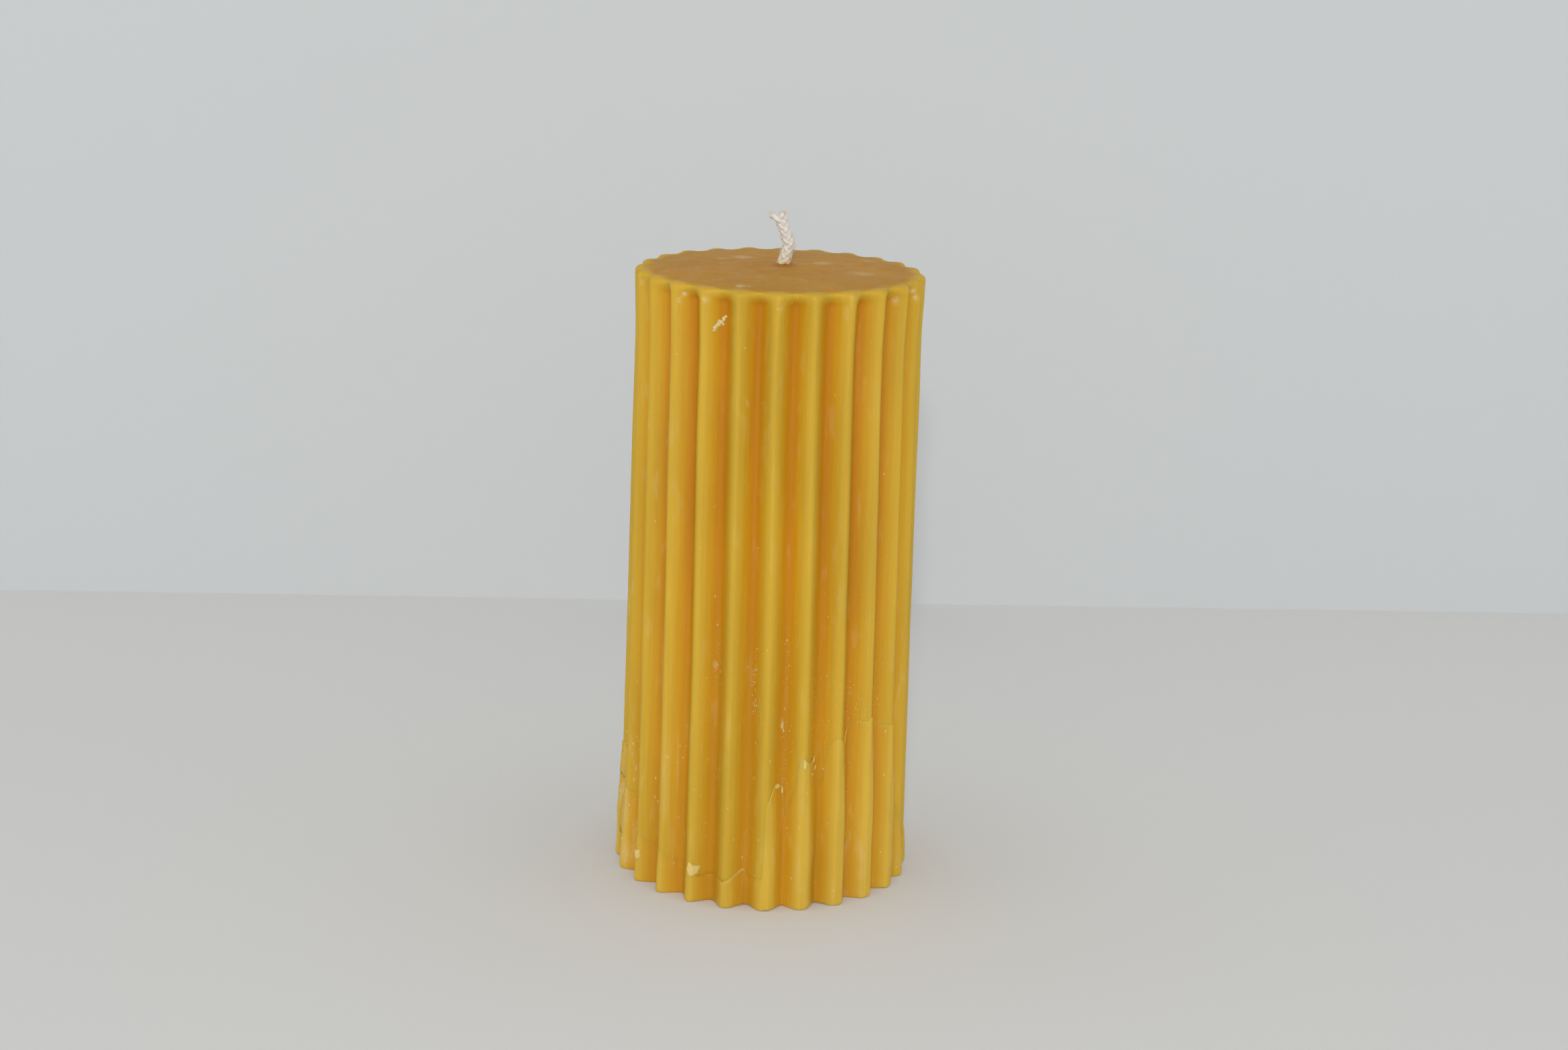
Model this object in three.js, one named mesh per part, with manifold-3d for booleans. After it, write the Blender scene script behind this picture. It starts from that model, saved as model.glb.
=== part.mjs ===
// Ribbed pillar candle of pure beeswax. Millimetres, +Z up, the origin at the middle of the foot
// on the surface that the candle stands on, and one rib facing -Y.
//
// The candle is cast upside down round its wick. The first pour makes the pillar. As it cools it
// draws away from the mould and leaves a hollow round the wick in the foot. The second pour fills
// that hollow, makes the last few millimetres of the foot and creeps up between pillar and mould,
// where it sets as thin laps over the ribs.
import * as THREE from 'three';
import { ParametricGeometry } from 'three/addons/geometries/ParametricGeometry.js';
import { mergeVertices } from 'three/addons/utils/BufferGeometryUtils.js';
import Module from 'manifold-3d';

// Fluted body
const pillarHeight = 140; // foot to rim
const topRadius = 32.2; // over the ribs, at the rim
const footRadius = 33.4; // over the ribs, at the foot: the mould widens so that the candle slides out
const ribCount = 24;
const fluteDepth = 3.8;
const fluteSharpness = 0.85; // 1 is a plain wave, and less narrows the ribs and widens the flutes
const fluteRunOut = 4.5; // height in which each flute rounds out to nothing under the rim
const rimRounding = 1.5;
const topCrown = 1; // rise of the top face from its edge to its middle

// Second pour
const footLayer = 6; // height of the foot that is all second pour
const footChamfer = 0.6; // worn bottom edge
const wellDepth = 16; // of the hollow left in the first pour, above the foot layer
const wellMouthRadius = 17;
const wellEndRadius = 6;
const lapInset = 0.1; // how far a lap's inner face lies below the ribs of the pillar

// Wick of braided cotton
const wickDiameter = 2.7;
const wickOffset = new THREE.Vector2(0.5, 1); // the wick isn't quite in the middle
const wickBend = new THREE.Vector2(1.2, 4.3); // sideways and up, from the wax to the bend
const wickTip = new THREE.Vector2(-0.8, 12.1); // sideways and up, from the wax to the tip
const wickFootRecess = 0.3; // the trimmed end, above the resting face

const clearance = 0.3; // between pieces that the real wax joins

// Facets
const columnsPerRib = 8;
const runOutRows = 4;
const rimRows = 3;
const crownRows = 3;
const wellRows = 6;
const wellSides = 48;
const boreSides = 12;
const wickSides = 10;
const wickSteps = 76;

// How far up the laps reach and how thick they stand off the ribs, in degrees round the candle
// from the front rib towards +X. The side that faces away from the viewer is made like the rest.
const laps = [
  { angle: -180, height: 15, thickness: 0.35 },
  { angle: -150, height: 9, thickness: 0.4 },
  { angle: -120, height: 21, thickness: 0.5 },
  { angle: -98, height: 28, thickness: 0.9 },
  { angle: -86, height: 28, thickness: 0.9 },
  { angle: -78, height: 20, thickness: 0.8 },
  { angle: -68, height: 19, thickness: 0.5 },
  { angle: -62, height: 11.5, thickness: 0.4 },
  { angle: -40, height: 11, thickness: 0.4 },
  { angle: -28, height: 9, thickness: 0.4 },
  { angle: -22, height: 7, thickness: 0.35 },
  { angle: -8, height: 8.5, thickness: 0.35 },
  { angle: -3, height: 27, thickness: 0.35 },
  { angle: 8, height: 30, thickness: 0.35 },
  { angle: 13, height: 36, thickness: 0.35 },
  { angle: 30, height: 40, thickness: 0.4 },
  { angle: 45, height: 43, thickness: 0.4 },
  { angle: 60, height: 40, thickness: 0.4 },
  { angle: 72, height: 22, thickness: 0.4 },
  { angle: 80, height: 9, thickness: 0.9 },
  { angle: 96, height: 9, thickness: 0.9 },
  { angle: 120, height: 18, thickness: 0.4 },
  { angle: 150, height: 24, thickness: 0.4 },
  { angle: 180, height: 15, thickness: 0.35 },
];

const wasm = await Module();
wasm.setup();

const beeswax = new THREE.MeshStandardMaterial({ color: '#caa53c', roughness: 0.45, metalness: 0 });
const toppedUpWax = new THREE.MeshStandardMaterial({ color: '#d2b054', roughness: 0.5, metalness: 0 });
const cotton = new THREE.MeshStandardMaterial({ color: '#e1d7c8', roughness: 0.9, metalness: 0 });

const crownHeight = pillarHeight + topCrown;
const boreRadius = wickDiameter / 2 + clearance;

// Fluted surface: its radius at an angle and a height, before the rim takes its rounding

function crestRadius(height) {
  return THREE.MathUtils.lerp(footRadius, topRadius, height / pillarHeight);
}

// The flute is cut by a round-ended cutter that draws back under the rim, so it ends in an arch.
function fluteCut(angle, height) {
  const wave = ((1 - Math.cos(ribCount * angle)) / 2) ** fluteSharpness;
  const belowRim = Math.min((pillarHeight - height) / fluteRunOut, 1);
  const drawBack = fluteDepth * (1 - Math.sqrt(1 - (1 - belowRim) ** 2));
  return Math.max(fluteDepth * wave - drawBack, 0);
}

function rimCut(height) {
  const intoRim = Math.max(height - (pillarHeight - rimRounding), 0);
  return rimRounding - Math.sqrt(rimRounding ** 2 - intoRim ** 2);
}

function flutedRadius(angle, height) {
  return crestRadius(height) - Math.max(fluteCut(angle, height), rimCut(height));
}

// The lap's height or thickness at an angle, eased from one entry of the list to the next.
function lapAt(angle, key) {
  const degrees = THREE.MathUtils.euclideanModulo(THREE.MathUtils.radToDeg(angle) + 180, 360) - 180;
  const next = Math.max(laps.findIndex((lap) => lap.angle > degrees), 1);
  const [from, to] = [laps[next - 1], laps[next]];
  const share = THREE.MathUtils.smoothstep(degrees, from.angle, to.angle);
  return THREE.MathUtils.lerp(from[key], to[key], share);
}

function lapHeight(angle) {
  return Math.max(lapAt(angle, 'height'), footLayer + 2 * clearance);
}

// A closed skin over rings of points. Each row gives radius and height at an angle, and the first
// and the last row lie on the axis.
function ringedSkin(rows) {
  const pointOnRow = (around, along, target) => {
    const angle = 2 * Math.PI * around;
    const [radius, height] = rows[Math.round(along * (rows.length - 1))](angle);
    target.set(radius * Math.sin(angle), -radius * Math.cos(angle), height);
  };
  return new ParametricGeometry(pointOnRow, ribCount * columnsPerRib, rows.length - 1);
}

function evenSteps(count) {
  return Array.from({ length: count }, (_, step) => (step + 1) / count);
}

// Geometry to solid and back, for the cuts

function toSolid(geometry) {
  geometry.deleteAttribute('normal');
  geometry.deleteAttribute('uv');
  const merged = mergeVertices(geometry);
  const corners = merged.index.array;
  const triangles = [];
  for (let i = 0; i < corners.length; i += 3) {
    const [a, b, c] = corners.slice(i, i + 3);
    if (a !== b && b !== c && c !== a) triangles.push(a, b, c);
  }
  const vertProperties = new Float32Array(merged.attributes.position.array);
  const triVerts = new Uint32Array(triangles);
  return new wasm.Manifold(new wasm.Mesh({ numProp: 3, vertProperties, triVerts }));
}

function toMesh(name, solid, material) {
  const { vertProperties, triVerts } = solid.getMesh();
  const geometry = new THREE.BufferGeometry();
  geometry.setAttribute('position', new THREE.BufferAttribute(vertProperties, 3));
  geometry.setIndex(new THREE.BufferAttribute(triVerts, 1));
  geometry.computeVertexNormals();
  const mesh = new THREE.Mesh(geometry, material);
  mesh.name = name;
  return mesh;
}

// A solid of revolution round the Z axis, from a profile of radius and height.
function turnedSolid(profile, sides) {
  const geometry = new THREE.LatheGeometry(profile, sides);
  geometry.rotateX(Math.PI / 2);
  return toSolid(geometry);
}

// The channel that the wick fills, longer than the candle at both ends so that it cuts through.
function wickBore() {
  const length = 2 * (crownHeight + wickDiameter);
  const bore = new THREE.CylinderGeometry(boreRadius, boreRadius, length, boreSides);
  bore.rotateX(Math.PI / 2);
  bore.translate(wickOffset.x, wickOffset.y, 0);
  return toSolid(bore);
}

// The hollow round the wick in the foot of the first pour. It narrows upwards like a bowl set
// upside down, and the plug that fills it is the same shape, smaller by the clearance.
function wellSolid(grow) {
  const mouth = footLayer - clearance;
  const end = footLayer + wellDepth;
  const profile = [new THREE.Vector2(0, mouth)];
  for (const share of [0, ...evenSteps(wellRows)]) {
    const radius = THREE.MathUtils.lerp(wellEndRadius, wellMouthRadius, Math.sqrt(1 - share ** 2));
    profile.push(new THREE.Vector2(radius + grow, THREE.MathUtils.lerp(mouth, end + grow, share)));
  }
  profile.push(new THREE.Vector2(0, end + grow));
  return turnedSolid(profile, wellSides);
}

// First pour: the ribbed pillar, set back under the laps and hollowed where the plug sits
function waxPillar() {
  const foot = footLayer + clearance;
  const seatCut = lapInset + clearance;
  const lapEdge = (angle) => lapHeight(angle) + clearance;
  const runOutStart = pillarHeight - fluteRunOut;
  const rimStart = pillarHeight - rimRounding;
  const discRadius = topRadius - rimRounding;
  const onSurface = (height) => (angle) => [flutedRadius(angle, height), height];
  const rows = [
    () => [0, foot],
    (angle) => [flutedRadius(angle, foot) - seatCut, foot],
    (angle) => [flutedRadius(angle, lapEdge(angle)) - seatCut, lapEdge(angle)],
    (angle) => [flutedRadius(angle, lapEdge(angle)), lapEdge(angle)],
    onSurface(runOutStart),
  ];
  for (const share of evenSteps(runOutRows)) {
    rows.push(onSurface(THREE.MathUtils.lerp(runOutStart, rimStart, share)));
  }
  for (const share of evenSteps(rimRows)) {
    rows.push(onSurface(THREE.MathUtils.lerp(rimStart, pillarHeight, Math.sin(share * Math.PI / 2))));
  }
  for (const share of evenSteps(crownRows)) {
    rows.push(() => [discRadius * (1 - share), pillarHeight + topCrown * (1 - (1 - share) ** 2)]);
  }
  const solid = toSolid(ringedSkin(rows)).subtract(wellSolid(clearance)).subtract(wickBore());
  return toMesh('wax_pillar', solid, beeswax);
}

// Second pour: the foot layer, the laps over the ribs and the plug in the well
function footPour() {
  const outer = (angle, height) => flutedRadius(angle, height) + lapAt(angle, 'thickness');
  const inner = (angle, height) => flutedRadius(angle, height) - lapInset;
  const rows = [
    () => [0, 0],
    (angle) => [outer(angle, 0) - footChamfer, 0],
    (angle) => [outer(angle, footChamfer), footChamfer],
    (angle) => [outer(angle, lapHeight(angle)), lapHeight(angle)],
    (angle) => [inner(angle, lapHeight(angle)), lapHeight(angle)],
    (angle) => [inner(angle, footLayer), footLayer],
    () => [0, footLayer],
  ];
  const solid = toSolid(ringedSkin(rows)).add(wellSolid(0)).subtract(wickBore());
  return toMesh('foot_pour', solid, toppedUpWax);
}

// The wick stands in the wax over the whole height and bends twice in its free end.
function wick() {
  const up = (height) => new THREE.Vector3(wickOffset.x, wickOffset.y, height);
  const free = (offset) => up(crownHeight + offset.y).add(new THREE.Vector3(offset.x, 0, 0));
  const straight = new THREE.LineCurve3(up(wickFootRecess), up(crownHeight - wickDiameter));
  const bent = new THREE.CatmullRomCurve3(
    [up(crownHeight - wickDiameter), up(crownHeight), free(wickBend), free(wickTip)],
    false,
    'centripetal',
  );
  const route = new THREE.CurvePath();
  route.add(straight);
  route.add(bent);
  const section = new THREE.Shape().absarc(0, 0, wickDiameter / 2, 0, 2 * Math.PI);
  const tube = new THREE.ExtrudeGeometry(section, {
    extrudePath: route,
    steps: wickSteps,
    curveSegments: wickSides / 2, // for half the circle
    bevelEnabled: false,
  });
  return toMesh('wick', toSolid(tube), cotton);
}

const candle = new THREE.Group();
candle.add(waxPillar(), footPour(), wick());

export default candle;
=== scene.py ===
import math
import random
import bmesh
import bpy
from mathutils import Matrix, Vector, noise


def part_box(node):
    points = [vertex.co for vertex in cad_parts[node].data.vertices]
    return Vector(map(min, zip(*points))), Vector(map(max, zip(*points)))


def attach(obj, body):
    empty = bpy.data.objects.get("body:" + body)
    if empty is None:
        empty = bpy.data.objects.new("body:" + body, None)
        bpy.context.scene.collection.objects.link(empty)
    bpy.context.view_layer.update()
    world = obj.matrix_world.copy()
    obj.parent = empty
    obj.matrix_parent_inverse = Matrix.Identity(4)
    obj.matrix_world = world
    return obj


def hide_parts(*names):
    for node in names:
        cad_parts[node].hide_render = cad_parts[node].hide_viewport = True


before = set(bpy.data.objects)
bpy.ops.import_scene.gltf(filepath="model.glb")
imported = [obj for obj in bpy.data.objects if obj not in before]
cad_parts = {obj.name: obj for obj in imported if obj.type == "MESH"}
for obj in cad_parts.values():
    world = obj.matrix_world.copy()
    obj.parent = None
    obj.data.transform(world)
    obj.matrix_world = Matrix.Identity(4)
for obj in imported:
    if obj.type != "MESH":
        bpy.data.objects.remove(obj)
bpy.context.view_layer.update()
mm = 0.001

# Camera. The candle was seen from two thirds of a metre, from a little above its rim, through a
# moderate telephoto lens that was held two degrees off level.
camera_distance = 645.67 * mm
camera_elevation = math.radians(15.31)
camera_pitch = math.radians(14.36)
camera_yaw = math.radians(0.25)
camera_roll = math.radians(1.95)
aim_height = 70 * mm

bpy.ops.object.camera_add()
camera = bpy.context.object
camera.name = "camera"
camera.data.sensor_width = 36
camera.data.lens = 64.56
camera.data.clip_start = 0.01
camera_place = Vector((0, -math.cos(camera_elevation), math.sin(camera_elevation))) * camera_distance
camera.matrix_world = (
    Matrix.Translation(camera_place + Vector((0, 0, aim_height)))
    @ Matrix.Rotation(-camera_yaw, 4, "Z")
    @ Matrix.Rotation(math.pi / 2 - camera_pitch, 4, "X")
    @ Matrix.Rotation(camera_roll, 4, "Z")
)
bpy.context.scene.camera = camera

# Pillar, the first pour. Yellow beeswax cast upside down in a mould with twenty-four flutes, so its
# top is the mould's smooth floor. The flutes grow shallow towards the rim, which flares a little,
# and the foot is hollow round the wick, where the cooling wax sank.
rib_count = 24
pillar_facets = 10
foot_radius = 33.4 * mm
rim_radius = 32.2 * mm
flute_depth = 3.8 * mm
flute_sharpness = 0.85
flute_run_out = 3.6 * mm
flute_share_at_rim = 0.42
rim_rounding = 1.4 * mm
rim_flare = 0.45 * mm
top_crown = 1.0 * mm
rim_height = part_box("wax_pillar")[1].z - top_crown
pillar_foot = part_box("wax_pillar")[0].z
wall_start = pillar_foot - 1.3 * mm
wall_rows = 56
well_depth = 16 * mm
well_mouth = 17 * mm
well_end = 6 * mm
whole_twist = math.radians(1.3)
twist_start = 40 * mm
twist_end = 140 * mm


def ease(value, low=0, high=1):
    """0 up to low, 1 from high on, and a smooth step between."""
    share = min(max((value - low) / (high - low), 0), 1)
    return share * share * (3 - 2 * share)


def crest_radius(height):
    """Radius over the ribs. The mould widens towards the foot, and a little at the rim."""
    flare = rim_flare * ease(height, rim_height - 15 * mm, rim_height - 2 * mm)
    return foot_radius + (rim_radius - foot_radius) * height / rim_height + flare


def flute_cut(phase, height):
    """Depth of the flute below the crest. Phase 0 is the crest and 0.5 the floor of the flute."""
    wave = ((1 - math.cos(math.tau * phase)) / 2) ** flute_sharpness
    grown = ease(height, rim_height, rim_height - flute_run_out)
    return flute_depth * wave * (flute_share_at_rim + (1 - flute_share_at_rim) * grown)


def rim_cut(height):
    """How far the rounded rim lies inside the crest."""
    into_rim = min(max(height - (rim_height - rim_rounding), 0), rim_rounding)
    return rim_rounding - math.sqrt(rim_rounding**2 - into_rim**2)


def fluted_radius(phase, height):
    return crest_radius(height) - flute_cut(phase, height) - rim_cut(height)


def rib_phase(angle):
    """How far an angle is from the nearest crest, as a share of the pitch, from 0 to 0.5."""
    ribs_round = angle / math.tau * rib_count
    return abs(ribs_round - round(ribs_round))


def angle_of(place):
    """Angle round the candle, from the front rib towards +X."""
    return math.atan2(place.x, -place.y)


def twist(height):
    """How far the ribs are turned at a height: the soft candle was twisted as it left the mould."""
    return whole_twist * (0.5 - ease(height, twist_start, twist_end))


def start_ring(name, facets, radius, height):
    """A ring of vertices, a few for every rib, to draw a piece up from. It is left open for editing."""
    bpy.ops.object.select_all(action="DESELECT")
    bpy.ops.mesh.primitive_circle_add(vertices=rib_count * facets, radius=radius)
    ring = bpy.context.object
    ring.name = ring.data.name = name
    bpy.ops.object.mode_set(mode="EDIT")
    bpy.ops.mesh.select_mode(type="VERT")
    bpy.ops.transform.translate(value=(0, 0, height))
    return ring


def select_only(vertices):
    cage = bmesh.from_edit_mesh(bpy.context.object.data)
    cage.verts.ensure_lookup_table()
    for vertex in cage.verts:
        vertex.select = False
    for index in vertices:
        cage.verts[index].select = True
    cage.select_flush_mode()
    bmesh.update_edit_mesh(bpy.context.object.data)


def shape_ring(facets, radius_at):
    """Scales the selected ring, the like vertices of every rib together, and leaves it selected."""
    cage = bmesh.from_edit_mesh(bpy.context.object.data)
    cage.verts.index_update()
    alike = [[] for _ in range(facets // 2 + 1)]
    radii = {}
    for vertex in cage.verts:
        if vertex.select:
            facet = round(rib_phase(angle_of(vertex.co)) * facets)
            alike[facet].append(vertex.index)
            radii[facet] = vertex.co.xy.length
    for facet, vertices in enumerate(alike):
        select_only(vertices)
        factor = radius_at(facet / facets) / radii[facet]
        bpy.ops.transform.resize(value=(factor, factor, 1))
    select_only([index for vertices in alike for index in vertices])


def draw_ring(rise, widen=1):
    """Extrudes the selected ring upwards or down, then scales the new ring."""
    bpy.ops.mesh.extrude_region_move(TRANSFORM_OT_translate={"value": (0, 0, rise)})
    bpy.ops.transform.resize(value=(widen, widen, 1))


def draw_fluted_ring(facets, start, height, grow=0):
    """Extrudes the selected ring from one height to another, with the flutes of that height."""
    draw_ring(height - start)
    shape_ring(facets, lambda phase: fluted_radius(phase, height) + grow)


def draw_profile(profile):
    """Draws round rings along a list of radius and height, from the ring that the list begins with."""
    for (radius, height), (next_radius, next_height) in zip(profile, profile[1:]):
        draw_ring(next_height - height, next_radius / radius)


def close_ends():
    """Closes the small rings that a piece was drawn from and to, each to a point of its own."""
    bpy.ops.object.mode_set(mode="EDIT")
    bpy.ops.mesh.select_all(action="DESELECT")
    bpy.ops.mesh.select_non_manifold()
    bpy.ops.mesh.extrude_region_move()
    bpy.ops.mesh.merge(type="COLLAPSE")
    bpy.ops.mesh.select_all(action="SELECT")
    bpy.ops.mesh.normals_make_consistent(inside=False)
    bpy.ops.object.mode_set(mode="OBJECT")


def draw_wall(facets, start, end, rows):
    """Draws a fluted wall up in even rows, each with the flutes of its height."""
    heights = [start + (end - start) * row / rows for row in range(rows + 1)]
    for low, high in zip(heights, heights[1:]):
        draw_fluted_ring(facets, low, high)


def well_profile():
    """The sunk hollow round the wick, as radius and height from its end down to its mouth."""
    profile = []
    for turn in range(0, 91, 15):
        across, up = math.sin(math.radians(turn)), math.cos(math.radians(turn))
        radius = well_end + (well_mouth - well_end) * across
        profile.append((radius, pillar_foot + well_depth * up))
    return profile


def round_off(piece):
    """Rounds the cage off, closes its ends, turns all faces outwards and shades it smooth."""
    bpy.ops.object.mode_set(mode="OBJECT")
    rounding = piece.modifiers.new("rounding", "SUBSURF")
    rounding.levels = rounding.render_levels = 1
    bpy.ops.object.modifier_apply(modifier=rounding.name)
    close_ends()
    bpy.ops.object.shade_smooth()


def hump(place, across, upright, seed=0):
    """Smooth unevenness from -1 to 1, with humps about this wide and this tall."""
    return noise.noise(Vector((place.x / across + seed, place.y / across, place.z / upright)))


def paint(piece, name, values):
    """Keeps a value for each vertex for the material: wear from -1, a dark pit, to 1, pale and worn,
    and on a few knocks on the rim also a painted highlight, and flute from 0 on a crest to 1 in the
    floor of a flute, which sets the painted shade in the flutes."""
    attributes = piece.data.attributes
    layer = attributes.get(name) or attributes.new(name, "FLOAT", "POINT")
    layer.data.foreach_set("value", values)


def unevenness(place):
    """How far cast wax stands out at a place: long soft waves, shorter ones and a fine grain."""
    rise = 0.13 * hump(place, 13 * mm, 42 * mm) + 0.05 * hump(place, 4.5 * mm, 15 * mm, 9)
    rise += 0.018 * hump(place, 1.4 * mm, 4 * mm, 5)
    return rise * mm * ease(place.z, 0, 3 * mm)


def weather(piece, marks=()):
    """Leaves the surface uneven and twists it. The marks dent it and are painted in as its wear, on a
    few knocks also as a painted highlight.
    """
    wear = [0] * len(piece.data.vertices)
    moves = [vertex.normal * unevenness(vertex.co) for vertex in piece.data.vertices]
    for x, y, z, size, depth, tone in marks:
        middle = Vector((x, y, z)) * mm
        for vertex in piece.data.vertices:
            if abs(vertex.co.z - middle.z) < size * mm:
                gap = (vertex.co - middle).length / (size * mm)
                gap += 0.35 * hump(vertex.co, 0.6 * mm, 0.6 * mm, 3)
                share = ease(gap, 1, 0)
                moves[vertex.index] -= vertex.normal * share * depth * mm
                wear[vertex.index] += share * tone
    for vertex, move in zip(piece.data.vertices, moves):
        place = vertex.co + move
        vertex.co = Matrix.Rotation(twist(place.z), 3, "Z") @ place
    if marks:
        paint(piece, "wear", wear)


profile = well_profile()
pillar = start_ring("pillar_casting", pillar_facets, *profile[0])
draw_profile(profile)
draw_ring(wall_start - pillar_foot, (foot_radius - 2 * flute_depth) / well_mouth)
draw_fluted_ring(pillar_facets, wall_start, wall_start)
height = rim_height - flute_run_out
draw_wall(pillar_facets, wall_start, height, wall_rows)
for below_rim in (3.2, 2.8, 2.4, 2.0, 1.6, 1.2, 0.8, 0.5, 0.27, 0.1, 0.02):
    next_height = rim_height - below_rim * mm
    draw_fluted_ring(pillar_facets, height, next_height)
    height = next_height
disc_radius = rim_radius + rim_flare - rim_rounding - flute_share_at_rim * flute_depth
draw_ring(rim_height - height)
shape_ring(pillar_facets, lambda phase: disc_radius)
crown_shares = (
    1, 0.985, 0.96, 0.93, 0.88, 0.8, 0.7, 0.61, 0.52, 0.43, 0.35, 0.27, 0.2, 0.15, 0.11, 0.08,
)
crown = [(disc_radius * share, rim_height + top_crown * (1 - share**2)) for share in crown_shares]
draw_profile(crown)
round_off(pillar)

# Knocks on the rim, worn and bloomed spots on the ribs, smudges and pits in the top: middle, size and
# depth in millimetres, and tone, where 1 is pale and -1 dark. The pale knocks on the front rim, the
# first three on the left and the sixth and seventh on the right, are worn and also painted highlights.
pillar_marks = [
    (-20.3, -23.2, 137.6, 1.0, 0.25, 1.0), (-21.6, -23.0, 136.4, 0.7, 0.15, 0.8),
    (-22.4, -21.6, 138.4, 0.9, 0.2, 0.5), (-15.6, -28.2, 137.4, 1.2, 0.15, 0.6),
    (-13.0, -28.6, 138.4, 0.9, 0.1, 0.4), (30.0, -9.4, 136.4, 0.9, 0.3, 1.0),
    (29.2, -9.8, 138.0, 1.1, 0.25, 0.9), (25.4, -17.0, 136.8, 1.3, 0.1, 0.5),
    (22.6, -21.5, 138.0, 1.5, 0.1, 0.45), (0.9, -32.1, 136.7, 0.8, 0.25, 0.5),
    (1.6, -31.6, 137.6, 0.6, 0.15, 0.4), (-30.0, -9.0, 137.6, 1.2, 0.2, 0.6),
    (-6.4, -29.9, 116.0, 0.7, 0.04, 0.8), (-5.7, -29.9, 115.2, 0.6, 0.03, 0.7),
    (0.1, -32.3, 131.1, 0.45, 0.08, -0.6), (-11.8, -27.2, 55.4, 0.7, 0.05, 0.7),
    (12.9, -30.0, 20.0, 0.6, 0.05, 0.5), (-8.7, 11.2, 140.9, 4.0, 0.06, 0.55),
    (-13.5, 8.5, 140.8, 2.6, 0.05, 0.4), (-8.3, -25.1, 140.3, 1.6, 0.1, 0.9),
    (-6.4, -25.4, 140.3, 0.8, 0.05, 0.6), (9.0, 5.0, 140.8, 3.2, 0.05, 0.5),
    (18.0, -6.0, 140.6, 4.5, 0.04, 0.35), (6.5, -19.5, 140.5, 0.5, 0.12, -0.9),
    (12.6, 3.0, 140.8, 0.8, 0.1, -0.8), (14.0, 2.6, 140.8, 0.5, 0.08, -0.7),
    (-14.8, 3.4, 140.7, 0.5, 0.1, -0.7), (-20.5, 2.0, 140.5, 0.6, 0.08, -0.6),
    (4.0, 16.0, 140.7, 0.5, 0.1, -0.6), (-3.5, 24.0, 140.3, 0.6, 0.1, -0.6),
    (20.0, 14.0, 140.5, 3.0, 0.05, 0.4), (-24.6, 19.6, 137.6, 1.1, 0.25, 0.9),
    (3.4, -29.1, 44.3, 0.5, 0.03, 0.8), (3.3, -29.2, 43.4, 0.6, 0.04, 1.0),
    (3.2, -29.2, 42.4, 0.5, 0.03, 0.8), (4.2, 31.6, 137.5, 1.0, 0.2, 0.8),
    (31.6, 5.2, 96.0, 0.8, 0.05, 0.6), (8.3, 30.9, 71.0, 1.0, 0.05, 0.6),
    (-27.8, 16.2, 44.0, 0.8, 0.05, 0.6),
]
wick_offset = Vector((0.5, 1.0, 0)) * mm
collar_height = 0.3 * mm
notch_dip = 0.35 * mm
for vertex in pillar.data.vertices:
    radius = vertex.co.xy.length
    if vertex.co.z > rim_height - 0.2 * mm:
        from_wick = (vertex.co.xy - wick_offset.xy).length
        vertex.co.z += collar_height * ease(from_wick, 3.4 * mm, 1.3 * mm) ** 2
        dip = notch_dip * ease(rib_phase(angle_of(vertex.co)), 0.1, 0.5)
        vertex.co.z -= dip * ease(radius, disc_radius - 2.4 * mm, disc_radius)
# The flutes' depth, painted on for the material's painted shade in the flutes.
phases = [rib_phase(angle_of(vertex.co)) for vertex in pillar.data.vertices]
paint(pillar, "flute", [(1 - math.cos(math.tau * phase)) / 2 for phase in phases])
weather(pillar, pillar_marks)


# Its wax, and that of all later pieces of wax: yellow on the ribs and painted deeper orange towards the
# floors of the flutes, as painted shade and the painted glow of the thick wax there, paler where
# handling and bloom have dulled the ribs and laps, brownish on the smooth top.
def new_material(name):
    material = bpy.data.materials.new(name)
    material.use_nodes = True
    material.node_tree.nodes.clear()
    return material


def add_node(tree, kind, settings=None, **inputs):
    """A shader node with its settings made and its sockets, named or numbered, set or linked."""
    node = tree.nodes.new(kind)
    for name, value in (settings or {}).items():
        setattr(node, name, value)
    for name, value in inputs.items():
        key = int(name[2:]) if name.startswith("in") and name[2:].isdigit() else name.replace("_", " ")
        if isinstance(value, bpy.types.NodeSocket):
            tree.links.new(value, node.inputs[key])
        else:
            node.inputs[key].default_value = value
    return node


def srgb(red, green, blue):
    """A colour as it looks on a screen, from 0 to 255, as the linear colour that shaders use."""
    linear = []
    for part in (red, green, blue):
        part /= 255
        linear.append(part / 12.92 if part <= 0.04045 else ((part + 0.055) / 1.055) ** 2.4)
    return (*linear, 1)


def maths(tree, operation, a, b=0.5, c=0.5, clamp=False):
    settings = {"operation": operation, "use_clamp": clamp}
    return add_node(tree, "ShaderNodeMath", settings, in0=a, in1=b, in2=c).outputs[0]


def mix_colours(tree, factor, a, b):
    return add_node(tree, "ShaderNodeMix", {"data_type": "RGBA"}, in0=factor, in6=a, in7=b).outputs[2]


def ease_between(tree, value, low, high, start=0, end=1):
    """Start below low, end above high, and a smooth step between."""
    settings = {"interpolation_type": "SMOOTHSTEP"}
    inputs = {"in0": value, "in1": low, "in2": high, "in3": start, "in4": end}
    return add_node(tree, "ShaderNodeMapRange", settings, **inputs).outputs[0]


def new_group(name, inputs, outputs):
    """An empty shader node group with named sockets, its tree, its inputs and its output node."""
    tree = bpy.data.node_groups.new(name, "ShaderNodeTree")
    for socket, kind in inputs.items():
        tree.interface.new_socket(name=socket, in_out="INPUT", socket_type="NodeSocket" + kind)
    for socket, kind in outputs.items():
        tree.interface.new_socket(name=socket, in_out="OUTPUT", socket_type="NodeSocket" + kind)
    return tree, tree.nodes.new("NodeGroupInput").outputs, tree.nodes.new("NodeGroupOutput")


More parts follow.
